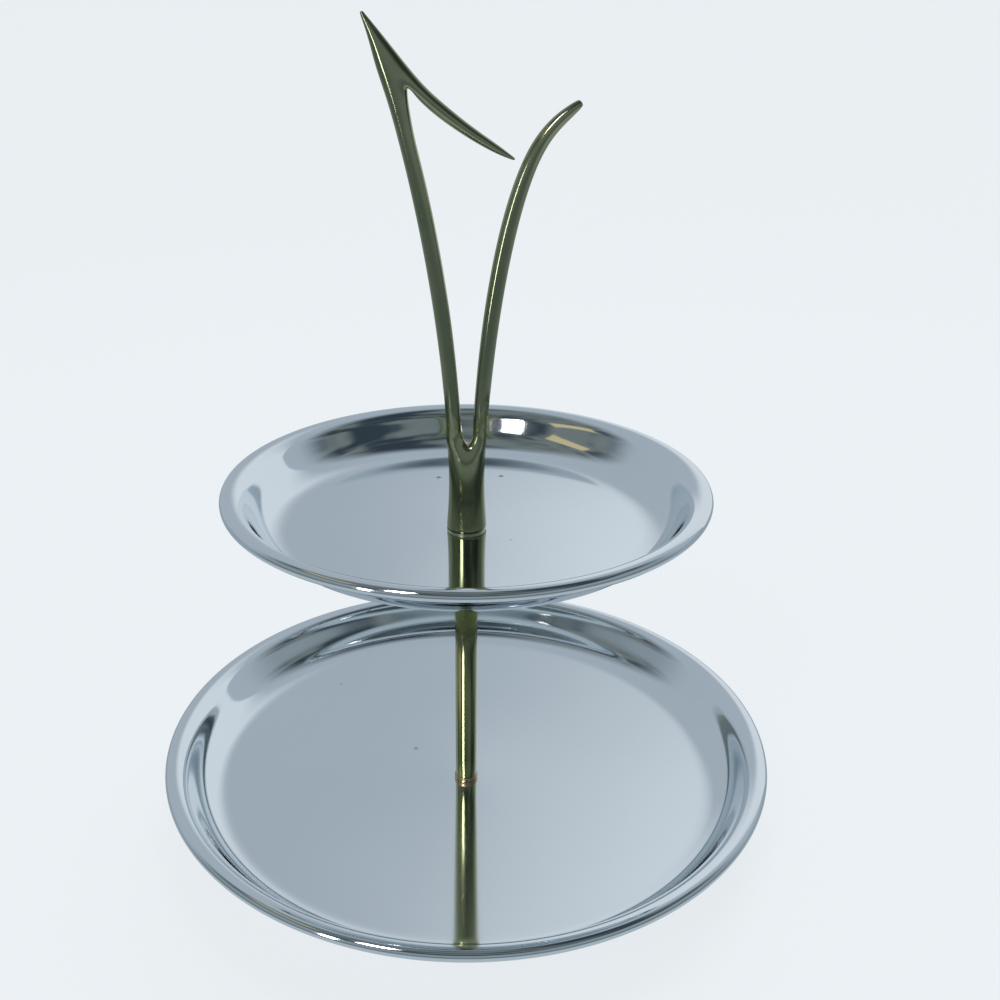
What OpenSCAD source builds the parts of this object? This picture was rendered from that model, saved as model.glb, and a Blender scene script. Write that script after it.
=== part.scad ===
// Two-tier cake stand. Two round dished trays with rolled rims are held on a
// round post by a forked handle above and a screw below, and the lower tray
// stands on a low foot ring.
// Z = 0 is the table, +Z is up, and the post lies on the Z axis.

/* [Trays] */
// Outside diameter of the lower tray
lower_tray_d = 304.8; // [260:0.2:340]
// Outside diameter of the upper tray
upper_tray_d = 228.6; // [190:0.2:250]
// Height from the lower tray's floor to the upper tray's floor, at the post
tier_gap = 145.4; // [120:0.2:180]
// Thickness of the trays' sheet
sheet_t = 0.8; // [0.6:0.1:1.2]
// Radius of the rolled edge at the rim
roll_r = 2.9; // [2:0.1:3.4]
// Height of the rim above the edge of the floor
wall_h = 22.2; // [20:0.1:25]
// Steepest slope of the wall from the horizontal
wall_angle = 60; // [50:1:70]
// Radius of the hollow bend from the floor into the wall
floor_bend = 28; // [10:0.5:30]
// Radius of the round bend from the wall out to the rim
rim_bend = 11; // [6:0.5:12]
// Radius to which the floor is dished
dish_radius = 694; // [500:2:1200]
// Radius of the flat seat at the middle of a tray
seat_r = 13; // [12:0.5:16]

/* [Foot] */
// Outside diameter of the foot ring where it stands
foot_d = 140; // [100:1:180]
// Wall of the foot ring
foot_t = 1.2; // [0.8:0.1:2]
// Width of the ring's flat foot
foot_flange = 4; // [3:0.5:6]
// Height of the lower tray's underside above the table, at the middle
foot_lift = 6.6; // [6.4:0.1:9]

/* [Post] */
// Diameter of the post
post_d = 11.1; // [9:0.1:14]
// Diameter of the collar at the post's foot
collar_d = 12; // [11.5:0.1:15]
// Height of the collar
collar_h = 2.6; // [1.5:0.1:4]

/* [Fasteners] */
// Diameter of the stud and of the screw
thread_d = 6.3; // [5:0.1:8]
// Rise of the thread in one turn
thread_pitch = 1.27; // [1:0.01:1.5]
// Turns that free the handle from the post
handle_turns = 6; // [4:1:8]
// Thickness of the spring washer
spring_washer_t = 1.2; // [0.8:0.1:1.6]
// Thickness of the plain washers
washer_t = 1; // [0.6:0.1:1.4]
// Diameter of the washer under the lower tray
base_washer_d = 25; // [18:0.5:26]
// Diameter of the washer under the upper tray
support_washer_d = 22; // [16:0.5:26]
// Diameter of the screw's head
head_d = 12.6; // [11:0.1:14]
// Height of the screw's head
head_h = 3.2; // [2.6:0.1:3.4]

/* [Handle] */
// Height of the left arm's tip above the upper tray's floor
handle_h = 227.2; // [220:0.2:236]
// Depth of the handle's foot, front to back
foot_depth = 18.6; // [16:0.2:20]
// Thickness of an arm, front to back
arm_depth = 7; // [5:0.2:9]
// Diameter of the washer under the handle
seat_washer_d = 18.4; // [14:0.2:20]
// Thickness of the washer under the handle
seat_washer_t = 0.8; // [0.5:0.1:1.2]

/* [Hidden] */
$fn = 96;

fit_gap = 0.05;         // between a thread and its bore
turn_gap = 0.1;         // between a thread and a tray or washer that turns on it
thread_r = thread_d / 2;
thread_engaged = handle_turns * thread_pitch + 1.4;
bore_spare = 1.5;       // left empty past the end of a thread
screw_in_post = 10;     // length of the base screw inside the post
stud_in_handle = 14;    // length of the stud inside the handle
steps = 24;             // stretches in a floor's curve
round_steps = 14;       // stretches in a bend
roll_steps = 24;        // stretches in the rolled edge
roll_end = -150;        // where the roll stops, as an angle about its centre
slope_guess = 35;       // from the rim in to about where the floor ends
foot_lean = 5;          // how far the foot ring leans out on its way down
foot_bevel = 0.6;       // broken edge round the foot
seam_gap = 0.05;        // between the foot ring and the tray
post_chamfer = 0.3;
collar_chamfer = 0.4;
thread_chamfer = 0.6;
washer_rim = 2.3;       // width of the spring washer's ring
washer_slit = 0.6;      // gap between the spring washer's ends
slit_lean = 35;
slot_w = 1.6;           // screwdriver slot in the screw's head
slot_depth = 1.3;
head_round = [1.6, 0.5, 0.7, 1.8];  // two steps in, then two steps up, of the head's round
foot_shift = 0.25;      // the handle's foot stands this far to the right of the stud
oval_sides = 20;

// The stack on the post, from the table up
lower_floor_z = foot_lift + sheet_t;
post_z = lower_floor_z + collar_h;
upper_floor_z = lower_floor_z + tier_gap;
support_z = upper_floor_z - sheet_t - washer_t;
handle_z = upper_floor_z + seat_washer_t;

// ---- Trays ----

// A tray's upper surface from the hole out to the rolled edge, as [radius, height, slope]
function floor_edge_r(r) = r - roll_r - wall_run(r);
function edge_slope(r_edge) = atan((r_edge - seat_r) / dish_radius);
function wall_run(r) =
    let (s = edge_slope(r - slope_guess))
    floor_bend * (sin(wall_angle) - sin(s)) + rim_bend * sin(wall_angle)
    + wall_straight(s) * cos(wall_angle);
function wall_straight(s) =
    (wall_h - floor_bend * (cos(s) - cos(wall_angle)) - rim_bend * (1 - cos(wall_angle)))
    / sin(wall_angle);
function floor_z(r) = r < seat_r ? 0 : pow(r - seat_r, 2) / (2 * dish_radius);

function tray_path(r) =
    let (
        edge = floor_edge_r(r),
        s = edge_slope(edge),
        low = [edge - floor_bend * sin(s), floor_z(edge) + floor_bend * cos(s)],
        wall = low + floor_bend * [sin(wall_angle), -cos(wall_angle)]
               + wall_straight(s) * [cos(wall_angle), sin(wall_angle)],
        high = wall + rim_bend * [sin(wall_angle), -cos(wall_angle)]
    )
    concat(
        [[thread_r + turn_gap, 0, 0]],
        [for (i = [0:steps]) let (x = seat_r + (edge - seat_r) * i / steps)
            [x, floor_z(x), edge_slope(x)]],
        [for (i = [1:round_steps]) let (a = s + (wall_angle - s) * i / round_steps)
            [low.x + floor_bend * sin(a), low.y - floor_bend * cos(a), a]],
        [for (i = [0:round_steps]) let (a = wall_angle * (1 - i / round_steps))
            [high.x - rim_bend * sin(a), high.y + rim_bend * cos(a), a]],
        roll_path([r - roll_r, high.y + rim_bend - roll_r])
    );

// The sheet's edge is rolled outwards and under, and its end stops short of the bend
function roll_path(centre) =
    [for (i = [1:roll_steps]) let (a = 90 + (roll_end - 90) * i / roll_steps)
        [centre.x + roll_r * cos(a), centre.y + roll_r * sin(a), a - 90]];

module tray_section(r) {
    path = tray_path(r);
    top = [for (p = path) [p.x, p.y]];
    under = [for (i = [len(path) - 1:-1:0]) let (p = path[i])
        [p.x + sheet_t * sin(p.z), p.y - sheet_t * cos(p.z)]];
    polygon(concat(top, under));
}

module tray(d) {
    rotate_extrude($fn = 180) tray_section(d / 2);
}

module lower_tray() {
    color([0.72, 0.77, 0.80]) translate([0, 0, lower_floor_z]) tray(lower_tray_d);
}

module upper_tray() {
    color([0.72, 0.77, 0.80]) translate([0, 0, upper_floor_z]) tray(upper_tray_d);
}

// ---- Foot ----

// The ring leans out from the tray's underside to a flat foot that is turned in
module foot_ring() {
    bottom_r = foot_d / 2;
    top_r = bottom_r - foot_lean;
    inner_r = top_r - foot_flange;
    under_z = foot_lift + floor_z(top_r) - seam_gap;
    inner_z = foot_lift + floor_z(inner_r) - seam_gap;
    color([0.66, 0.70, 0.73])
        rotate_extrude($fn = 180)
            polygon([
                [bottom_r - foot_flange, 0], [bottom_r - foot_bevel, 0],
                [bottom_r, foot_bevel], [bottom_r, foot_t], [top_r, under_z - foot_t],
                [top_r, under_z], [inner_r, inner_z], [inner_r, inner_z - foot_t],
                [top_r - foot_t, inner_z - foot_t],
                [bottom_r - 1.3 * foot_t, foot_t], [bottom_r - foot_flange, foot_t]
            ]);
}

// ---- Post and fasteners ----

module ring(outer_r, inner_r, h) {
    difference() {
        cylinder(r = outer_r, h = h);
        translate([0, 0, -1]) cylinder(r = inner_r, h = h + 2);
    }
}

// A turned bar with its edges broken by a small chamfer
module turned(r, h, chamfer) {
    rotate_extrude()
        polygon([[0, 0], [r - chamfer, 0], [r, chamfer], [r, h - chamfer],
                 [r - chamfer, h], [0, h]]);
}

module post() {
    post_h = support_z - post_z;
    low_bore = screw_in_post + bore_spare;
    high_bore = thread_engaged + bore_spare;
    color([0.62, 0.55, 0.27])
        translate([0, 0, post_z])
            difference() {
                turned(post_d / 2, post_h, post_chamfer);
                translate([0, 0, -1]) cylinder(r = thread_r + fit_gap, h = low_bore + 1);
                translate([0, 0, post_h - high_bore])
                    cylinder(r = thread_r + fit_gap, h = high_bore + 1);
            }
}

module post_collar() {
    color([0.70, 0.58, 0.30])
        translate([0, 0, lower_floor_z])
            difference() {
                turned(collar_d / 2, collar_h, collar_chamfer);
                translate([0, 0, -1]) cylinder(r = thread_r + fit_gap, h = collar_h + 2);
            }
}

module base_washer() {
    color([0.68, 0.70, 0.70])
        translate([0, 0, foot_lift - washer_t])
            ring(base_washer_d / 2, thread_r + turn_gap, washer_t);
}

// A split ring whose ends are cut on a slant
module spring_washer() {
    color([0.45, 0.46, 0.47])
        translate([0, 0, foot_lift - washer_t - spring_washer_t])
            difference() {
                ring(thread_r + washer_rim, thread_r + turn_gap, spring_washer_t);
                translate([0, thread_r + washer_rim / 2, spring_washer_t / 2])
                    rotate([0, slit_lean, 0])
                        cube([washer_slit, 2 * washer_rim, 5 * spring_washer_t], center = true);
            }
}

module base_screw() {
    head_z = foot_lift - washer_t - spring_washer_t - head_h;
    shank_top = post_z + screw_in_post;
    color([0.60, 0.62, 0.63])
        difference() {
            union() {
                translate([0, 0, head_z])
                    rotate_extrude()
                        polygon([[0, 0], [head_d / 2 - head_round[0], 0],
                                 [head_d / 2 - head_round[1], head_round[2]],
                                 [head_d / 2, head_round[3]], [head_d / 2, head_h],
                                 [0, head_h]]);
                translate([0, 0, head_z + head_h / 2])
                    turned(thread_r, shank_top - head_z - head_h / 2, thread_chamfer);
            }
            translate([0, 0, head_z])
                cube([head_d + 2, slot_w, 2 * slot_depth], center = true);
        }
}

module support_washer() {
    color([0.68, 0.70, 0.70])
        translate([0, 0, support_z])
            ring(support_washer_d / 2, thread_r + turn_gap, washer_t);
}

module seat_washer() {
    color([0.70, 0.58, 0.30])
        translate([0, 0, upper_floor_z])
            ring(seat_washer_d / 2, thread_r + fit_gap, seat_washer_t);
}

module handle_stud() {
    bottom = support_z - thread_engaged;
    color([0.60, 0.62, 0.63])
        translate([0, 0, bottom])
            turned(thread_r, handle_z + stud_in_handle - bottom, thread_chamfer);
}

// ---- Handle ----
// Points are [across, up], up from the upper tray's floor. An arm is a chain of oval
// sections along one curve; both arms start inside the handle's foot, and the barb
// runs back down from the left arm's tip.

function mix(a, b, t) = a + (b - a) * t;
// A point on the curve that a list of control points pulls, and its direction there
function curve(p, t) =
    len(p) == 1 ? p[0] : curve([for (i = [1:len(p) - 1]) mix(p[i - 1], p[i], t)], t);
function curve_dir(p, t) =
    let (d = curve([for (i = [1:len(p) - 1]) p[i] - p[i - 1]], t))
    d / norm(d);
// A value at t along a list of evenly spaced ones
function along(v, t) =
    let (i = min(floor(t * (len(v) - 1)), len(v) - 2))
    mix(v[i], v[i + 1], t * (len(v) - 1) - i);

// An oval section across the curve at t, of the given half width and half depth
function oval(p, t, half_w, half_d, sides) =
    let (c = curve(p, t), d = curve_dir(p, t))
    [for (k = [0:sides - 1]) let (a = 360 * k / sides)
        [c.x + half_w * cos(a) * d.y, half_d * sin(a), c.y - half_w * cos(a) * d.x]];

module loft(rings) {
    n = len(rings);
    m = len(rings[0]);
    polyhedron(
        points = [for (r = rings) each r],
        faces = concat(
            [[for (k = [0:m - 1]) k]],
            [for (i = [0:n - 2], k = [0:m - 1]) let (k2 = (k + 1) % m)
                each [[i * m + k, (i + 1) * m + k, (i + 1) * m + k2],
                      [i * m + k, (i + 1) * m + k2, i * m + k2]]],
            [[for (k = [m - 1:-1:0]) (n - 1) * m + k]]
        )
    );
}

module arm(p, widths, depths, count) {
    loft([for (i = [0:count]) let (t = i / count)
        oval(p, t, along(widths, t) / 2, along(depths, t) / 2, oval_sides)]);
}

tip = [-42.3, handle_h];
left_arm = [[-4.6, 37], [-7, 70], [-8.5, 111], [-18, 145], [-23, 188], tip];
left_w = [7, 6.8, 7.1, 7.2, 7.1, 6.6, 1.2];
left_d = arm_depth * [0.9, 1, 1, 1, 1, 0.95, 0.2];
barb = [tip, [-28.8, 197.5], [2.4, 179.1], [20.5, 169.8]];
barb_w = [1, 4.6, 7, 6.7, 6, 5.2, 4.5, 3.5, 1];
barb_d = arm_depth * [0.2, 0.7, 0.9, 0.9, 0.85, 0.8, 0.7, 0.6, 0.25];
right_arm = [[4.8, 37], [9, 70.7], [6.5, 102.5], [23, 182.3], [28.8, 177.4], [47.6, 192.6]];
right_w = [6.4, 6.9, 7.3, 7.4, 6.6, 5.4, 2.6];
right_d = arm_depth * [0.9, 1, 1, 1, 0.95, 0.85, 0.45];

// The foot is round where it stands, narrows to a waist, and widens and flattens
// again where the arms part
foot_w = [19, 18.2, 17.4, 16.8, 16.6, 17.2, 17.8];
foot_d_share = [1, 0.92, 0.84, 0.76, 0.68, 0.6, 0.5];
foot_top = 45;

module handle_foot() {
    rings = 12;
    loft([for (i = [0:rings]) let (t = i / rings)
        [for (a = [0:15:345])
            [foot_shift + along(foot_w, t) / 2 * cos(a),
             along(foot_d_share, t) * foot_depth / 2 * sin(a),
             mix(seat_washer_t, foot_top, t)]]]);
}

module handle() {
    color([0.60, 0.54, 0.27])
        translate([0, 0, upper_floor_z])
            difference() {
                union() {
                    handle_foot();
                    arm(left_arm, left_w, left_d, 30);
                    arm(barb, barb_w, barb_d, 20);
                    arm(right_arm, right_w, right_d, 26);
                }
                translate([0, 0, seat_washer_t - 1])
                    cylinder(r = thread_r + fit_gap, h = stud_in_handle + bore_spare);
            }
}

lower_tray();
foot_ring();
base_washer();
spring_washer();
base_screw();
post_collar();
post();
support_washer();
upper_tray();
seat_washer();
handle_stud();
handle();
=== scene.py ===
import math

import bmesh
import bpy
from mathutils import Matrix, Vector


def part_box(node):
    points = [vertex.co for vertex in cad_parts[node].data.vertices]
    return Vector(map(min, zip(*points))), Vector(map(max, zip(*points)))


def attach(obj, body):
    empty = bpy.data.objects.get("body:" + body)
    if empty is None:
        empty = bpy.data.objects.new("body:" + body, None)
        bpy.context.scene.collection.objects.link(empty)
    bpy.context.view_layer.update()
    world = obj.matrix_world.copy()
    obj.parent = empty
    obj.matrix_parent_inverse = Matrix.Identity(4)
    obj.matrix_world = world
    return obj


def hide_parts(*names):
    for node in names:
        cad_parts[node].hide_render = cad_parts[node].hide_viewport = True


bl_info = {
    "name": "Two-tier cake stand",
    "version": (1, 0, 0),
    "blender": (4, 5, 0),
    "location": "View3D > Sidebar > Cake Stand",
    "description": "Makes the trays, post, handle and foot of a two-tier cake stand",
    "category": "Object",
}

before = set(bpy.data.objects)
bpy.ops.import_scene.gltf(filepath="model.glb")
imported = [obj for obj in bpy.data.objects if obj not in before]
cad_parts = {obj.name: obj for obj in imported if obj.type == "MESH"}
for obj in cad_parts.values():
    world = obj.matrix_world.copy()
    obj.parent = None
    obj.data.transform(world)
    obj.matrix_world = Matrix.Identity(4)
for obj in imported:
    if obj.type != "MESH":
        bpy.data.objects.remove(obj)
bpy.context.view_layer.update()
MM = 0.001


def node_box(name):
    """The lowest and highest corners of a CAD node at rest, as vectors."""
    low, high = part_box(name)
    return Vector(low), Vector(high)


def node_radius(name):
    """Half the width of a CAD node at rest."""
    low, high = node_box(name)
    return (high.x - low.x) / 2


def node_heights(name):
    """The heights of the bottom and the top of a CAD node at rest."""
    low, high = node_box(name)
    return low.z, high.z


# ---- Sizes and colours that a user would change ----

class TraySettings(bpy.types.PropertyGroup):
    """Sizes of the two trays, which share one section."""

    sheet: bpy.props.FloatProperty(
        name="Sheet", description="Thickness of the sheet", default=0.8 * MM, unit="LENGTH")
    roll: bpy.props.FloatProperty(
        name="Rolled edge", description="Radius of the rolled edge at the rim",
        default=2.9 * MM, unit="LENGTH")
    wall: bpy.props.FloatProperty(
        name="Wall", description="Height of the rim above the floor's edge",
        default=22.2 * MM, unit="LENGTH")
    wall_slope: bpy.props.FloatProperty(
        name="Wall slope", description="Steepest slope of the wall from the horizontal",
        default=math.radians(60), subtype="ANGLE")
    floor_bend: bpy.props.FloatProperty(
        name="Floor bend", description="Mean radius of the bend from the floor into the wall",
        default=28 * MM, unit="LENGTH")
    rim_bend: bpy.props.FloatProperty(
        name="Rim bend", description="Mean radius of the bend from the wall out to the rim",
        default=11 * MM, unit="LENGTH")
    dish: bpy.props.FloatProperty(
        name="Dish radius", description="Radius to which the floor is dished",
        default=694 * MM, unit="LENGTH")
    seat: bpy.props.FloatProperty(
        name="Seat radius", description="Radius of the flat seat at the middle",
        default=13 * MM, unit="LENGTH")
    hole: bpy.props.FloatProperty(
        name="Hole radius", description="Radius of the hole at the middle",
        default=3.25 * MM, unit="LENGTH")
    segments: bpy.props.IntProperty(
        name="Segments", description="Faces round a tray", default=320)
    color: bpy.props.FloatVectorProperty(
        name="Chrome", description="Colour of the chrome", subtype="COLOR", size=3,
        default=(0.80, 0.85, 0.88))


class HandleSettings(bpy.types.PropertyGroup):
    """Sizes of the cast handle."""

    depth: bpy.props.FloatProperty(
        name="Arm depth", description="Thickness of an arm, front to back",
        default=7 * MM, unit="LENGTH")
    smoothing: bpy.props.IntProperty(
        name="Smoothing", description="Subdivision levels", default=3)
    color: bpy.props.FloatVectorProperty(
        name="Brass", description="Colour of the brass", subtype="COLOR", size=3,
        default=(0.36, 0.37, 0.23))


class StageSettings(bpy.types.PropertyGroup):
    """Camera, floor and light."""

    distance: bpy.props.FloatProperty(
        name="Distance", description="From the camera to the post, level", unit="LENGTH",
        default=479.8 * MM)
    height: bpy.props.FloatProperty(
        name="Height", description="Of the camera above the table", unit="LENGTH",
        default=373.4 * MM)
    pitch: bpy.props.FloatProperty(
        name="Pitch", description="How far the camera looks down", subtype="ANGLE",
        default=math.radians(23.24))
    lens: bpy.props.FloatProperty(
        name="Lens", description="Focal length in millimetres", default=39.6)
    shift: bpy.props.FloatProperty(
        name="Shift", description="Sideways shift of the lens", default=0.0338)
    paper: bpy.props.FloatVectorProperty(
        name="Paper", description="Colour of the floor and backdrop", subtype="COLOR",
        size=3, default=(0.823, 0.863, 0.888))


# ---- Fixed sizes and colours ----

# Edges that turn by more than this are sharp
SHARP = math.radians(40)

# An outline is swept round a circle of this radius, and points this close are then joined
HUB = 1 * MM
WELD = 0.001 * MM

# The post's bore, its depth from each end, and the chamfer and rounding of the ends
BORE = 3.2 * MM
LOW_HOLE = 11.5 * MM
HIGH_HOLE = 10.5 * MM
CHAMFER = 0.3 * MM
COLLAR_ROUND = 0.5 * MM

# Faces round each turned piece, and steps along the parts of an outline
FOOT_SEGMENTS = 256
POST_SEGMENTS = 128
FLOOR_SEGMENTS = 96
FLAT_STEPS = 40
BEND_STEPS = 20
ROLL_STEPS = 32
POST_STEPS = 12

# Degrees through which the rim's edge is rolled
ROLL_TURN = 240

# The stage's floor lies this far under the stand and curves up into a backdrop; in metres
FLOOR_DROP = 0.4 * MM
FLOOR_RADIUS = 1.5
BACKDROP_TOP = (3.0, 2.2)

SPECK = (0.40, 0.42, 0.42)
TARNISH = (0.28, 0.27, 0.16)
# The darker brass of the painted shade low on the handle, in place of a dark reflection
PAINTED_SHADE_BRASS = (0.25, 0.27, 0.14)
POST_BRASS = (0.50, 0.50, 0.27)
COLLAR_BRASS = (0.66, 0.50, 0.30)
WASHER_BRASS = (0.52, 0.48, 0.34)
FOOT_CHROME = (0.66, 0.70, 0.73)
ZINC = (0.62, 0.64, 0.65)
SPRING_STEEL = (0.32, 0.32, 0.33)
SKY = (0.41, 0.47, 0.53)
TABLE = (0.46, 0.52, 0.56)
BACK_WALL = (0.32, 0.38, 0.43)
ROOM_WALL = (0.27, 0.32, 0.36)
ROOM_DARK = (0.035, 0.050, 0.065)
ROOM_LIGHT = (0.17, 0.20, 0.20)
ROOM_FLOOR = (0.16, 0.21, 0.24)
CARD_LEFT = (0.42, 0.475, 0.53)
CARD_RIGHT = (0.72, 0.77, 0.82)
WARM_LIGHT = (1.0, 0.72, 0.22)


# ---- Node trees ----

class Socket:
    """An output socket whose arithmetic adds Math nodes to its tree."""

    def __init__(self, tree, output):
        self.tree = tree
        self.output = output

    def math(self, operation, first, second):
        return self.tree.add("ShaderNodeMath", {"operation": operation}, i0=first, i1=second)

    def __add__(self, other):
        return self.math("ADD", self, other)

    __radd__ = __add__

    def __sub__(self, other):
        return self.math("SUBTRACT", self, other)

    def __rsub__(self, other):
        return self.math("SUBTRACT", other, self)

    def __mul__(self, other):
        return self.math("MULTIPLY", self, other)

    __rmul__ = __mul__

    def __pow__(self, other):
        return self.math("POWER", self, other)


class Tree:
    """A shader node tree, with one method that adds any node."""

    def __init__(self, tree):
        self.tree = tree
        tree.nodes.clear()

    def feed(self, socket, value):
        if isinstance(value, Socket):
            self.tree.links.new(value.output, socket)
        else:
            socket.default_value = value

    def add(self, kind, settings=None, out=0, **inputs):
        """Adds a node and gives its output, or a list of them where out is a tuple.
        Settings are the node's properties; inputs are its sockets, each by its name or as
        i and its number."""
        node = self.tree.nodes.new(kind)
        for key, value in (settings or {}).items():
            setattr(node, key, value)
        for key, value in inputs.items():
            numbered = key[0] == "i" and key[1:].isdigit()
            self.feed(node.inputs[int(key[1:]) if numbered else key.replace("_", " ")], value)
        if isinstance(out, tuple):
            return [Socket(self, node.outputs[index]) for index in out]
        return Socket(self, node.outputs[out]) if len(node.outputs) else None


def axes(tree, vector):
    """The x, y and z of a vector, as three sockets."""
    return tree.add("ShaderNodeSeparateXYZ", out=(0, 1, 2), Vector=vector)


def object_point(tree):
    """The point on the piece, in metres, as a vector and as three sockets."""
    vector = tree.add("ShaderNodeTexCoord", out="Object")
    return vector, axes(tree, vector)


def stretched(tree, vector, scale):
    """The vector with each axis scaled, for grain that runs one way."""
    return tree.add("ShaderNodeMapping", Vector=vector, Scale=scale)


def noise(tree, vector, scale, detail=3.0):
    return tree.add("ShaderNodeTexNoise", Vector=vector, Scale=scale, Detail=detail)


def ramp(tree, value, low, high):
    """0 below low, 1 above high, and smooth between."""
    return tree.add("ShaderNodeMapRange", {"interpolation_type": "SMOOTHSTEP"},
                    Value=value, From_Min=low, From_Max=high)


def mix_color(tree, factor, first, second):
    """The first colour where the factor is 0, the second where it is 1."""
    return tree.add("ShaderNodeMix", {"data_type": "RGBA"}, out=2,
                    i0=factor, i6=first, i7=second)


def rgba(color, share=(1.0, 1.0, 1.0)):
    """A colour for a socket, with each channel at its share."""
    return (*(value * part for value, part in zip(color, share)), 1.0)


def new_material(name):
    material = bpy.data.materials.get(name) or bpy.data.materials.new(name)
    material.use_nodes = True
    return material, Tree(material.node_tree)


def finish_metal(material, tree, color, roughness, bump, strength, distance):
    """Joins colour, roughness and a height field to one metal shader."""
    normal = tree.add("ShaderNodeBump", Height=bump, Strength=strength, Distance=distance)
    shader = tree.add("ShaderNodeBsdfPrincipled", Base_Color=color, Roughness=roughness,
                      Metallic=1.0, Normal=normal)
    tree.add("ShaderNodeOutputMaterial", Surface=shader)
    return material


def turning_marks(tree, x, y, z, across, up):
    """Noise that runs in rings round the Z axis, at so many marks a metre out and up."""
    radius = (x * x + y * y) ** 0.5
    return noise(tree, tree.add("ShaderNodeCombineXYZ", X=radius * across, Y=z * up), 1.0)


def tray_chrome(name, color):
    """Bright chrome with faint spun rings, fine wiping scratches and a few dull specks."""
    material, tree = new_material(name)
    point, (x, y, z) = object_point(tree)
    rings = turning_marks(tree, x, y, z, 900.0, 40.0)
    wiped = noise(tree, stretched(tree, point, (60, 900, 60)), 1.0, 2.0)
    cloud = noise(tree, point, 14.0)
    specks = tree.add("ShaderNodeTexVoronoi", Vector=point, Scale=26.0)
    speck = 1 - ramp(tree, specks, 0.012, 0.05)
    tint = mix_color(tree, cloud, rgba(color, (0.96, 0.96, 0.96)), rgba(color))
    tint = mix_color(tree, speck, tint, rgba(SPECK))
    rough = 0.045 + 0.03 * cloud + 0.25 * speck + 0.02 * wiped
    bump = rings * 0.5 + wiped * 0.5
    return finish_metal(material, tree, tint, rough, bump, 0.06, 0.03 * MM)


def aged_brass(name, color, rough_base, painted_shade_below=0.0):
    """Polished brass gone olive; below a given height it is darkened with painted shade,
    standing in for a dark reflection.
    """
    material, tree = new_material(name)
    point, (_, _, z) = object_point(tree)
    patches = noise(tree, point, 55.0)
    fine = noise(tree, point, 420.0)
    lines = noise(tree, stretched(tree, point, (900, 900, 50)), 1.0, 2.0)
    tint = mix_color(tree, ramp(tree, patches, 0.35, 0.70), rgba(color, (0.86, 0.90, 0.86)),
                     rgba(color))
    tarnish = ramp(tree, noise(tree, point, 150.0, 5.0), 0.62, 0.75)
    tint = mix_color(tree, tarnish * 0.4, tint, rgba(TARNISH))
    # Painted shade: below the given height the brass fades to a darker colour, standing in for
    # the dark surroundings it would reflect
    if painted_shade_below:
        painted_shade = 1 - ramp(tree, z + 0.02 * patches, painted_shade_below - 20 * MM, painted_shade_below + 12 * MM)
        tint = mix_color(tree, painted_shade, tint, rgba(PAINTED_SHADE_BRASS))
    rough = rough_base + 0.07 * patches + 0.10 * tarnish
    bump = fine * 0.6 + lines * 0.4
    return finish_metal(material, tree, tint, rough, bump, 0.10, 0.05 * MM)


def plated_steel(name, color, rough_base):
    """Plated or plain steel, with turning marks and blotches."""
    material, tree = new_material(name)
    point, (x, y, z) = object_point(tree)
    turned = turning_marks(tree, x, y, z, 4000.0, 3000.0)
    blotch = noise(tree, point, 220.0)
    tint = mix_color(tree, ramp(tree, blotch, 0.4, 0.7), rgba(color),
                     rgba(color, (0.92, 0.90, 0.80)))
    rough = rough_base + 0.12 * blotch
    return finish_metal(material, tree, tint, rough, turned, 0.25, 0.06 * MM)


# ---- Mesh helpers ----

def link_object(name, mesh):
    piece = bpy.data.objects.new(name, mesh)
    bpy.context.scene.collection.objects.link(piece)
    return piece


def smooth_faces(mesh):
    """Smooths all faces, and marks as sharp the edges that turn by more than an angle."""
    work = bmesh.new()
    work.from_mesh(mesh)
    bmesh.ops.recalc_face_normals(work, faces=work.faces)
    for face in work.faces:
        face.smooth = True
    for edge in work.edges:
        edge.smooth = len(edge.link_faces) != 2 or edge.calc_face_angle(0) < SHARP
    work.to_mesh(mesh)
    work.free()


def lathe_tree():
    """A Geometry Nodes tree that turns an outline in its own XY plane round the Z axis."""
    tree = bpy.data.node_groups.get("turned_outline")
    if tree:
        return tree
    tree = bpy.data.node_groups.new("turned_outline", "GeometryNodeTree")
    face = tree.interface
    face.new_socket("Outline", in_out="INPUT", socket_type="NodeSocketGeometry")
    face.new_socket("Segments", in_out="INPUT", socket_type="NodeSocketInt")
    face.new_socket("Hub Radius", in_out="INPUT", socket_type="NodeSocketFloat")
    face.new_socket("Weld Distance", in_out="INPUT", socket_type="NodeSocketFloat")
    face.new_socket("Material", in_out="INPUT", socket_type="NodeSocketMaterial")
    face.new_socket("Turned", in_out="OUTPUT", socket_type="NodeSocketGeometry")
    nodes, links = tree.nodes, tree.links
    start = nodes.new("NodeGroupInput")
    outline = nodes.new("GeometryNodeMeshToCurve")
    circle = nodes.new("GeometryNodeCurvePrimitiveCircle")
    sweep = nodes.new("GeometryNodeCurveToMesh")
    weld = nodes.new("GeometryNodeMergeByDistance")
    real = nodes.new("GeometryNodeRealizeInstances")
    paint = nodes.new("GeometryNodeSetMaterial")
    end = nodes.new("NodeGroupOutput")
    links.new(start.outputs["Outline"], outline.inputs["Mesh"])
    links.new(start.outputs["Segments"], circle.inputs["Resolution"])
    links.new(start.outputs["Hub Radius"], circle.inputs["Radius"])
    links.new(circle.outputs["Curve"], sweep.inputs["Curve"])
    links.new(outline.outputs["Curve"], sweep.inputs["Profile Curve"])
    links.new(sweep.outputs["Mesh"], weld.inputs["Geometry"])
    links.new(start.outputs["Weld Distance"], weld.inputs["Distance"])
    links.new(weld.outputs["Geometry"], real.inputs["Geometry"])
    links.new(real.outputs["Geometry"], paint.inputs["Geometry"])
    links.new(start.outputs["Material"], paint.inputs["Material"])
    links.new(paint.outputs["Geometry"], end.inputs["Turned"])
    return tree


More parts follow.
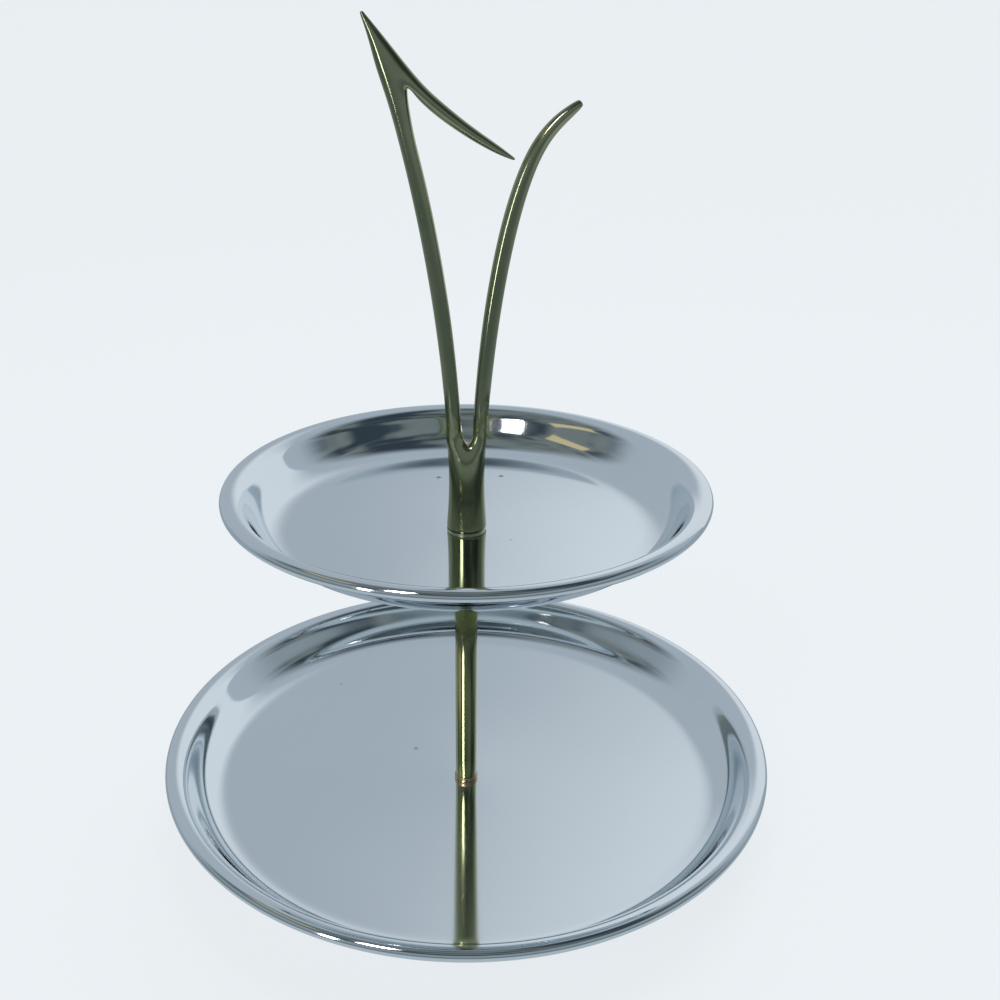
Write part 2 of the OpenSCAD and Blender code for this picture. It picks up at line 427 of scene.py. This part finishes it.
def turned_piece(name, outline, material, segments, closed):
    """A solid of revolution from an outline of (radius, height) points. A closed outline
    makes a ring; an open one has its two ends on the axis."""
    count = len(outline)
    edges = [(i, i + 1) for i in range(count - 1)] + ([(count - 1, 0)] if closed else [])
    mesh = bpy.data.meshes.new(name + "_outline")
    mesh.from_pydata([(r - HUB, -z, 0) for r, z in outline], edges, [])
    source = link_object(name + "_outline", mesh)
    tree = lathe_tree()
    modifier = source.modifiers.new("Turned", "NODES")
    modifier.node_group = tree
    values = {"Segments": segments, "Hub Radius": HUB, "Weld Distance": WELD,
              "Material": material}
    for item in tree.interface.items_tree:
        if item.in_out == "INPUT" and item.name in values:
            modifier[item.identifier] = values[item.name]
    ready = source.evaluated_get(bpy.context.evaluated_depsgraph_get())
    turned = bpy.data.meshes.new_from_object(ready)
    turned.name = name
    source.modifiers.remove(modifier)
    bpy.data.objects.remove(source)
    bpy.data.meshes.remove(mesh)
    smooth_faces(turned)
    return link_object(name, turned)


def arc(center, radius, start, stop, steps):
    """Points on an arc, with angles in degrees, both ends included."""
    angles = [math.radians(start + (stop - start) * i / steps) for i in range(steps + 1)]
    return [(center[0] + radius * math.cos(a), center[1] + radius * math.sin(a))
            for a in angles]


def use(piece, body, slot, *nodes):
    """Rides a piece on its body and hides the nodes that it stands for. The slot is not used."""
    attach(piece, body)
    for node in nodes:
        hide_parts(node)


# ---- Trays ----

def floor_height(s, r):
    """How far the dished floor has risen at a radius."""
    return max(0.0, r - s.seat) ** 2 / (2 * s.dish)


def bend(start, stop, length, ease):
    """A bend from one slope to another, as (across, up, slope) from its start; ease gives
    the share of the turn that is done at each share of the length."""
    points = []
    across = up = 0.0
    step = length / BEND_STEPS
    for i in range(1, BEND_STEPS + 1):
        middle = start + (stop - start) * ease((i - 0.5) / BEND_STEPS)
        across += step * math.cos(middle)
        up += step * math.sin(middle)
        points.append((across, up, start + (stop - start) * ease(i / BEND_STEPS)))
    return points


def tray_path(s, rim_radius):
    """A tray's upper surface from its hole to the end of its rolled edge, as (radius,
    height, slope), with the seat at height 0."""
    # The floor's edge and its slope depend on each other; a few rounds settle them
    edge = rim_radius - 35 * MM
    for _ in range(3):
        slope = math.atan((edge - s.seat) / s.dish)
        low = bend(slope, s.wall_slope, s.floor_bend * (s.wall_slope - slope),
                   lambda t: t * t * (3 - 2 * t))
        high = bend(s.wall_slope, 0.0, s.rim_bend * s.wall_slope, lambda t: t ** 1.6)
        straight = (s.wall - low[-1][1] - high[-1][1]) / math.sin(s.wall_slope)
        across_wall = straight * math.cos(s.wall_slope)
        edge = rim_radius - s.roll - low[-1][0] - high[-1][0] - across_wall
    wall = [(across_wall, straight * math.sin(s.wall_slope), s.wall_slope)]
    path = [(s.hole, 0.0, 0.0), (s.seat * 0.6, 0.0, 0.0)]
    for i in range(FLAT_STEPS + 1):
        r = s.seat + (edge - s.seat) * i / FLAT_STEPS
        path.append((r, floor_height(s, r), math.atan((r - s.seat) / s.dish)))
    for part in (low, wall, high):
        r, z, _ = path[-1]
        path += [(r + across, z + up, a) for across, up, a in part]
    top = path[-1][1]
    for i in range(1, ROLL_STEPS + 1):
        a = math.radians(90 - ROLL_TURN * i / ROLL_STEPS)
        path.append((rim_radius - s.roll + s.roll * math.cos(a),
                     top - s.roll + s.roll * math.sin(a), a - math.pi / 2))
    return path


def tray_outline(s, rim_radius, seat_height):
    """The closed outline of a tray: out along its upper face and back along its under one."""
    path = tray_path(s, rim_radius)
    upper = [(r, z + seat_height) for r, z, _ in path]
    under = [(r + s.sheet * math.sin(a), z - s.sheet * math.cos(a) + seat_height)
             for r, z, a in path]
    return upper + under[::-1]


class CAKESTAND_OT_trays(bpy.types.Operator):
    """Makes the lower and upper trays, each one curled sheet"""

    bl_idname = "cakestand.trays"
    bl_label = "Trays"

    def execute(self, context):
        s = context.scene.cakestand_trays
        chrome = tray_chrome("tray_chrome", s.color)
        for name, body in (("lower_tray", "base"), ("upper_tray", "upper_tray")):
            seat_height = node_heights(name)[0] + s.sheet
            outline = tray_outline(s, node_radius(name), seat_height)
            tray = turned_piece("visual_" + name, outline, chrome, s.segments, True)
            use(tray, body, "tray_chrome", name)
        return {"FINISHED"}


# ---- Foot ----

class CAKESTAND_OT_foot(bpy.types.Operator):
    """Makes the foot ring under the lower tray"""

    bl_idname = "cakestand.foot"
    bl_label = "Foot ring"

    def execute(self, context):
        s = context.scene.cakestand_trays
        thick = 1.2 * MM
        edge = 0.5 * MM
        shoulder = 1.4 * MM
        gap = 0.1 * MM
        outer = node_radius("foot_ring")
        inner = outer - 4 * MM
        top_outer = outer - 4.4 * MM
        top_inner = top_outer - 4.4 * MM
        under_tray = node_heights("lower_tray")[0]
        outer_top = under_tray + floor_height(s, top_outer)
        inner_top = under_tray + floor_height(s, top_inner)
        outline = [(inner, 0.0)]
        outline += arc((outer - edge, edge), edge, -90, 0, 5)
        outline += arc((outer - edge, shoulder), edge, 0, 60, 4)
        outline += [(top_outer, outer_top - thick), (top_outer, outer_top - gap),
                    (top_inner, inner_top - gap), (top_inner, inner_top - thick),
                    (top_outer - 1.6 * MM, outer_top - 1.9 * MM),
                    (outer - 1.7 * MM, thick), (inner, thick)]
        chrome = plated_steel("foot_chrome", FOOT_CHROME, 0.14)
        ring = turned_piece("visual_foot_ring", outline, chrome, FOOT_SEGMENTS, True)
        use(ring, "base", "foot_chrome", "foot_ring")
        return {"FINISHED"}


# ---- Post ----

class CAKESTAND_OT_post(bpy.types.Operator):
    """Makes the post, bored at both ends, and the collar at its foot"""

    bl_idname = "cakestand.post"
    bl_label = "Post and collar"

    def execute(self, context):
        radius = node_radius("post")
        z0, z1 = node_heights("post")
        brass = aged_brass("post_brass", POST_BRASS, 0.08)
        outline = [(0.0, z0 + LOW_HOLE), (BORE, z0 + LOW_HOLE), (BORE, z0)]
        outline += arc((radius - CHAMFER, z0 + CHAMFER), CHAMFER, -90, 0, 4)
        outline += [(radius, z0 + CHAMFER + (z1 - z0 - 2 * CHAMFER) * i / POST_STEPS)
                    for i in range(1, POST_STEPS)]
        outline += arc((radius - CHAMFER, z1 - CHAMFER), CHAMFER, 0, 90, 4)
        outline += [(BORE, z1), (BORE, z1 - HIGH_HOLE), (0.0, z1 - HIGH_HOLE)]
        post = turned_piece("visual_post", outline, brass, POST_SEGMENTS, False)
        use(post, "post", "post_brass", "post")

        radius = node_radius("post_collar")
        z0, z1 = node_heights("post_collar")
        gold = aged_brass("collar_brass", COLLAR_BRASS, 0.26)
        outer = radius - COLLAR_ROUND
        outline = [(BORE, z0)] + arc((outer, z0 + COLLAR_ROUND), COLLAR_ROUND, -90, 0, 5)
        outline += arc((outer, z1 - COLLAR_ROUND), COLLAR_ROUND, 0, 90, 5) + [(BORE, z1)]
        collar = turned_piece("visual_post_collar", outline, gold, POST_SEGMENTS, True)
        use(collar, "post", "collar_brass", "post_collar")
        return {"FINISHED"}


# ---- Fasteners ----

class CAKESTAND_OT_fasteners(bpy.types.Operator):
    """Gives the screw, stud and washers their metals"""

    bl_idname = "cakestand.fasteners"
    bl_label = "Fasteners"

    def execute(self, context):
        zinc = plated_steel("fastener_steel", ZINC, 0.28)
        dark = plated_steel("spring_steel", SPRING_STEEL, 0.35)
        gold = aged_brass("washer_brass", WASHER_BRASS, 0.24)
        finishes = {"base_screw": zinc, "base_washer": zinc, "support_washer": zinc,
                    "handle_stud": zinc, "spring_washer": dark, "seat_washer": gold}
        for node, material in finishes.items():
            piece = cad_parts[node]
            piece.data.materials.clear()
            piece.data.materials.append(material)
        return {"FINISHED"}


# ---- Handle ----

def mix(a, b, t):
    """A value t of the way from a to b."""
    return a + (b - a) * t


def curve_point(points, t):
    """A point on the curve that a list of control points pulls."""
    while len(points) > 1:
        points = [tuple(mix(a, b, t) for a, b in zip(p, q)) for p, q in zip(points, points[1:])]
    return points[0]


def curve_direction(points, t):
    """The direction of the curve at t, as a unit vector."""
    steps = [tuple(b - a for a, b in zip(p, q)) for p, q in zip(points, points[1:])]
    return Vector(curve_point(steps, t)).normalized()


def along(values, t):
    """A value at t along a list of evenly spaced ones."""
    place = t * (len(values) - 1)
    i = min(int(place), len(values) - 2)
    return mix(values[i], values[i + 1], place - i)


# Control points are (across, up) in millimetres, up from the upper tray's floor, and the
# widths are evenly spaced along their curve
TIP = (-42.3, 227.2)
LEFT_ARM = [(-4.6, 37), (-7, 70), (-8.5, 111), (-18, 145), (-23, 188), TIP]
LEFT_WIDTHS = [7, 6.8, 7.1, 7.2, 7.1, 6.6, 1.2]
RIGHT_ARM = [(4.8, 37), (9, 70.7), (6.5, 102.5), (23, 182.3), (28.8, 177.4), (47.6, 192.6)]
RIGHT_WIDTHS = [6.4, 6.9, 7.3, 7.4, 6.8, 6.0, 4.4]
BARB = [TIP, (-28.8, 197.5), (2.4, 179.1), (20.5, 169.8)]
BARB_WIDTHS = [1, 4.6, 7, 6.7, 6, 5.2, 4.5, 3.5, 1]
# A cage stands outside the smooth surface that it gives: by this much on 6 and 8 sides
CAGE_6 = 1.2
CAGE_8 = 1.108


class Cage:
    """A cage of rings for a subdivision surface."""

    def __init__(self, floor):
        self.mesh = bmesh.new()
        self.floor = floor

    def vert(self, x, y, z):
        """A corner of the cage, in millimetres, with z up from the tray's floor."""
        return self.mesh.verts.new((x * MM, y * MM, self.floor + z * MM))

    def ring(self, center, across, half_w, half_d, angles):
        """An oval ring; across is the direction of angle 0, and 90 degrees is the front."""
        verts = []
        for angle in angles:
            a = math.radians(angle)
            u = half_w * math.cos(a)
            verts.append(self.vert(center[0] + u * across[0], -half_d * math.sin(a),
                                   center[1] + u * across[1]))
        return verts

    def bridge(self, first, second):
        """Joins two rings of as many corners by a band of quads."""
        n = len(first)
        for i in range(n):
            j = (i + 1) % n
            self.mesh.faces.new((first[i], first[j], second[j], second[i]))

    def chain(self, rings):
        for first, second in zip(rings, rings[1:]):
            self.bridge(first, second)

    def cap(self, ring):
        """Closes a ring of six or eight sides with quads about its middle line."""
        n = len(ring)
        half = n // 2
        for i in range(half - 1):
            self.mesh.faces.new((ring[i], ring[i + 1], ring[n - 2 - i], ring[(n - 1 - i) % n]))


# Where the corners of a ring stand round it: of the left arm and barb, right arm and foot
LEFT_ANGLES = (0, 60, 120, 180, 240, 300)
RIGHT_ANGLES = (180, 120, 60, 0, 300, 240)
FOOT_ANGLES = (0, 45, 90, 135, 180, 225, 270, 315)


def arm_ring(cage, points, widths, depth, t, angles, width_scale=1.0):
    """A six-sided ring across an arm at t; angle 0 is to the right of its direction."""
    d = curve_direction(points, t)
    across = (d.y, -d.x)
    half_w = along(widths, t) / 2 * CAGE_6 * width_scale
    return cage.ring(curve_point(points, t), across, half_w, depth / 2 * CAGE_6, angles)


def build_handle_cage(cage, depth):
    """Builds the foot, the two arms and the barb; depth is in millimetres."""
    # Foot: (height, half width, half depth), round at the tray, waisted, then flattened
    foot = [(0.8, 5.0, 5.0), (0.8, 8.9, 8.9), (1.2, 9.5, 9.3), (4, 9.35, 9.0), (12, 8.75, 8.2),
            (21, 8.35, 7.3), (30, 8.4, 6.4), (37, 8.7, 5.7)]
    rings = []
    for height, half_w, half_d in foot:
        rings.append([cage.vert(0.25 + half_w * CAGE_8 * math.cos(math.radians(a)),
                                -half_d * CAGE_8 * math.sin(math.radians(a)), height)
                      for a in FOOT_ANGLES])
    # The last ring dips between the arms, front and back
    top = [cage.vert(x, y, z) for x, y, z in (
        (9.9, 0, 41.5), (7.6, -4.7, 41.5), (0.9, -4.4, 40.6), (-7.0, -4.7, 41.5),
        (-9.6, 0, 41.5), (-7.0, 4.7, 41.5), (0.9, 4.4, 40.6), (7.6, 4.7, 41.5))]
    rings.append(top)
    cage.chain(rings)
    cage.cap(rings[0][::-1])
    saddle = cage.vert(0.9, 0, 41.8)
    left_root = [saddle, top[2], top[3], top[4], top[5], top[6]]
    right_root = [saddle, top[2], top[1], top[0], top[7], top[6]]

    # Left arm up to where the barb leaves it
    left = [left_root, cage.ring((-5.6, 46.8), (1, 0), 4.5, 4.0, LEFT_ANGLES)]
    for t in (0.085, 0.15, 0.23, 0.31, 0.39, 0.47, 0.55, 0.63, 0.70, 0.765):
        left.append(arm_ring(cage, LEFT_ARM, LEFT_WIDTHS, depth, t, LEFT_ANGLES))
    below = cage.ring((-28.6, 193.2), (0.965, 0.262), 4.4, depth / 2 * CAGE_6, LEFT_ANGLES)
    for vert, across, up in ((below[0], 0.0, 8.6), (below[1], -0.2, 5.4), (below[5], -0.2, 5.4)):
        vert.co.x += across * MM
        vert.co.z += up * MM
    left.append(below)
    above = cage.ring((-32.3, 208.6), (0.93, 0.37), 6.2, depth / 2 * 1.08, LEFT_ANGLES)
    cage.chain(left)

    # Between these two rings the outer faces close and the inner ones open for the barb
    for i in (1, 2, 3, 4):
        cage.mesh.faces.new((below[i], below[i + 1], above[i + 1], above[i]))
    tip = [above]
    for center, half_w, half_d in (((-35.6, 215.2), 4.1, 3.0), ((-38.9, 221.3), 2.3, 2.0),
                                   ((-41.2, 225.2), 1.2, 1.2), ((-42.0, 226.7), 0.8, 0.8)):
        tip.append(cage.ring(center, (0.89, 0.45), half_w, half_d, LEFT_ANGLES))
    cage.chain(tip)
    cage.cap(tip[-1])

    # Barb, from the opening: low, front low, front high, high, back high, back low
    opening = [below[0], below[1], above[1], above[0], above[5], below[5]]
    barb = [opening]
    barb.append(arm_ring(cage, BARB, BARB_WIDTHS, depth * 0.9, 0.40, LEFT_ANGLES, 0.86))
    for t, share in ((0.52, 0.85), (0.64, 0.8), (0.76, 0.7), (0.88, 0.58),
                     (0.96, 0.42), (1.0, 0.2)):
        barb.append(arm_ring(cage, BARB, BARB_WIDTHS, depth * share, t, LEFT_ANGLES))
    cage.chain(barb)
    cage.cap(barb[-1])

    # Right arm
    right = [right_root, cage.ring((6.4, 46.8), (1, 0), 3.7, 4.0, RIGHT_ANGLES)]
    for t, share in ((0.085, 0.95), (0.16, 1), (0.25, 1), (0.34, 1), (0.43, 1), (0.52, 1),
                     (0.61, 1), (0.70, 0.96), (0.78, 0.9), (0.86, 0.8), (0.93, 0.68),
                     (0.98, 0.55), (1.0, 0.32)):
        right.append(arm_ring(cage, RIGHT_ARM, RIGHT_WIDTHS, depth * share, t, RIGHT_ANGLES,
                              1.0 if t < 0.95 else share + 0.3))
    cage.chain(right)
    cage.cap(right[-1])


class CAKESTAND_OT_handle(bpy.types.Operator):
    """Makes the cast handle as one smooth surface over a cage of rings"""

    bl_idname = "cakestand.handle"
    bl_label = "Handle"

    def execute(self, context):
        s = context.scene.cakestand_handle
        floor = node_heights("seat_washer")[0]
        cage = Cage(floor)
        build_handle_cage(cage, s.depth / MM)
        bmesh.ops.recalc_face_normals(cage.mesh, faces=cage.mesh.faces)
        for face in cage.mesh.faces:
            face.smooth = True
        mesh = bpy.data.meshes.new("visual_handle")
        cage.mesh.to_mesh(mesh)
        cage.mesh.free()
        # The handle's brass is darkened with painted shade below 45 mm up from the tray
        mesh.materials.append(aged_brass("handle_brass", s.color, 0.09, floor + 45 * MM))
        handle = link_object("visual_handle", mesh)
        smooth = handle.modifiers.new("Smooth", "SUBSURF")
        smooth.levels = s.smoothing
        smooth.render_levels = s.smoothing
        use(handle, "handle", "handle_brass", "handle")
        return {"FINISHED"}


# ---- Stage ----

def studio_world(scene):
    """A pale sky, a table and a back wall, and on the camera's side a dim room, for the
    metal to reflect."""
    world = bpy.data.worlds.new("studio")
    world.use_nodes = True
    scene.world = world
    tree = Tree(world.node_tree)
    direction = tree.add("ShaderNodeTexCoord", out="Generated")
    _, y, z = axes(tree, direction)
    clouds = noise(tree, stretched(tree, direction, (2.0, 2.0, 5.0)), 1.0, 2.0)
    room = mix_color(tree, ramp(tree, clouds, 0.42, 0.60), rgba(ROOM_DARK), rgba(ROOM_LIGHT))
    room = mix_color(tree, ramp(tree, z, 0.32, 0.52), rgba(ROOM_WALL), room)
    room = mix_color(tree, ramp(tree, z, -0.12, 0.05), rgba(ROOM_FLOOR), room)
    near = mix_color(tree, ramp(tree, z, -0.50, -0.30), rgba(TABLE), room)
    far = mix_color(tree, ramp(tree, z, -0.62, -0.45), rgba(TABLE), rgba(BACK_WALL))
    far = mix_color(tree, ramp(tree, z, 0.02, 0.14), far, rgba(SKY))
    both = mix_color(tree, ramp(tree, y, -0.02, 0.34), near, far)
    surface = tree.add("ShaderNodeBackground", Color=both)
    tree.add("ShaderNodeOutputWorld", Surface=surface)


def reflector(name, left, right, low, high, distance):
    """An upright pale card behind the stand, brighter to the right, that only the metal
    sees."""
    mesh = bpy.data.meshes.new(name)
    mesh.from_pydata([(left, distance, low), (right, distance, low), (right, distance, high),
                      (left, distance, high)], [], [(0, 1, 2, 3)])
    card = link_object(name, mesh)
    material, tree = new_material(name)
    point, (x, _, z) = object_point(tree)
    cloud = noise(tree, point, 5.0, 1.0)
    bright = ramp(tree, x + 0.10 * cloud - 0.25 * (z - 0.55), -0.06, 0.24)
    tint = mix_color(tree, bright, rgba(CARD_LEFT), rgba(CARD_RIGHT))
    tint = mix_color(tree, ramp(tree, z, 0.70, 1.4), tint, rgba(SKY))
    glow = tree.add("ShaderNodeEmission", Color=tint, Strength=1.0)
    tree.add("ShaderNodeOutputMaterial", Surface=glow)
    mesh.materials.append(material)
    card.visible_camera = False
    card.visible_diffuse = False
    card.visible_shadow = False


def soft_box(name, azimuth, elevation, distance, width, height, power):
    """An area light aimed at the stand. Azimuth 0 is the camera's side and positive to the
    right; angles are in degrees, lengths in metres and power in watts."""
    a, e = math.radians(azimuth), math.radians(elevation)
    aim = Vector((0, 0, (node_heights("lower_tray")[0] + node_heights("handle")[1]) / 2))
    place = aim + distance * Vector((math.sin(a) * math.cos(e), -math.cos(a) * math.cos(e),
                                     math.sin(e)))
    light = bpy.data.lights.new(name, "AREA")
    light.shape = "RECTANGLE"
    light.size = width
    light.size_y = height
    light.energy = power
    lamp = bpy.data.objects.new(name, light)
    bpy.context.scene.collection.objects.link(lamp)
    lamp.location = place
    lamp.rotation_euler = (aim - place).to_track_quat("-Z", "Y").to_euler()
    return lamp


class CAKESTAND_OT_stage(bpy.types.Operator):
    """Makes the floor, the light and the camera"""

    bl_idname = "cakestand.stage"
    bl_label = "Stage"

    def execute(self, context):
        s = context.scene.cakestand_stage
        scene = context.scene
        scene.view_settings.view_transform = "Standard"
        studio_world(scene)

        paper, tree = new_material("paper")
        diffuse = tree.add("ShaderNodeBsdfDiffuse", Color=rgba(s.paper))
        glow = tree.add("ShaderNodeEmission", Color=rgba(s.paper), Strength=1.03)
        both = tree.add("ShaderNodeMixShader", i0=0.88, i1=diffuse, i2=glow)
        tree.add("ShaderNodeOutputMaterial", Surface=both)
        outline = [(0.0, -FLOOR_DROP), (FLOOR_RADIUS, -FLOOR_DROP)]
        outline += arc((FLOOR_RADIUS, FLOOR_RADIUS - FLOOR_DROP), FLOOR_RADIUS, -90, 0, 24)
        outline.append(BACKDROP_TOP)
        floor = turned_piece("floor", outline, paper, FLOOR_SEGMENTS, False)
        floor.visible_glossy = False
        floor.visible_shadow = False

        reflector("reflector", left=-1.3, right=1.3, low=0.12, high=1.5, distance=0.8)
        soft_box("window_left", azimuth=-31, elevation=38, distance=2.2,
                 width=0.36, height=0.60, power=8)
        soft_box("window_low", azimuth=-42, elevation=4, distance=2.4,
                 width=0.22, height=0.9, power=5)
        warm = soft_box("warm_wall", azimuth=-72, elevation=42, distance=2.2,
                        width=0.9, height=0.30, power=0.35)
        warm.data.color = WARM_LIGHT
        overhead = soft_box("overhead", azimuth=150, elevation=75, distance=2.4,
                            width=1.6, height=1.6, power=30)
        overhead.visible_glossy = False

        data = bpy.data.cameras.new("camera")
        data.sensor_width = 36
        data.lens = s.lens
        data.shift_x = s.shift
        camera = bpy.data.objects.new("camera", data)
        scene.collection.objects.link(camera)
        camera.location = (0, -s.distance, s.height)
        camera.rotation_euler = (math.pi / 2 - s.pitch, 0, 0)
        scene.camera = camera
        return {"FINISHED"}


# ---- Panel and registration ----

class CAKESTAND_PT_panel(bpy.types.Panel):
    """Lists the stand's settings and its makers"""

    bl_idname = "CAKESTAND_PT_panel"
    bl_label = "Cake Stand"
    bl_space_type = "VIEW_3D"
    bl_region_type = "UI"
    bl_category = "Cake Stand"

    def draw(self, context):
        layout = self.layout
        for group in ("cakestand_trays", "cakestand_handle", "cakestand_stage"):
            settings = getattr(context.scene, group)
            box = layout.box()
            for key in settings.__annotations__:
                box.prop(settings, key)
        for operator in OPERATORS:
            layout.operator(operator.bl_idname)


SETTINGS = {"cakestand_trays": TraySettings, "cakestand_handle": HandleSettings,
            "cakestand_stage": StageSettings}
OPERATORS = (CAKESTAND_OT_stage, CAKESTAND_OT_trays, CAKESTAND_OT_foot, CAKESTAND_OT_post,
             CAKESTAND_OT_fasteners, CAKESTAND_OT_handle)
CLASSES = (*SETTINGS.values(), *OPERATORS, CAKESTAND_PT_panel)


def register():
    for cls in CLASSES:
        bpy.utils.register_class(cls)
    for name, group in SETTINGS.items():
        setattr(bpy.types.Scene, name, bpy.props.PointerProperty(type=group))


def unregister():
    for name in SETTINGS:
        delattr(bpy.types.Scene, name)
    for cls in reversed(CLASSES):
        bpy.utils.unregister_class(cls)


def main():
    register()
    for operator in OPERATORS:
        group, name = operator.bl_idname.split(".")
        getattr(getattr(bpy.ops, group), name)()


if __name__ == "__main__":
    main()
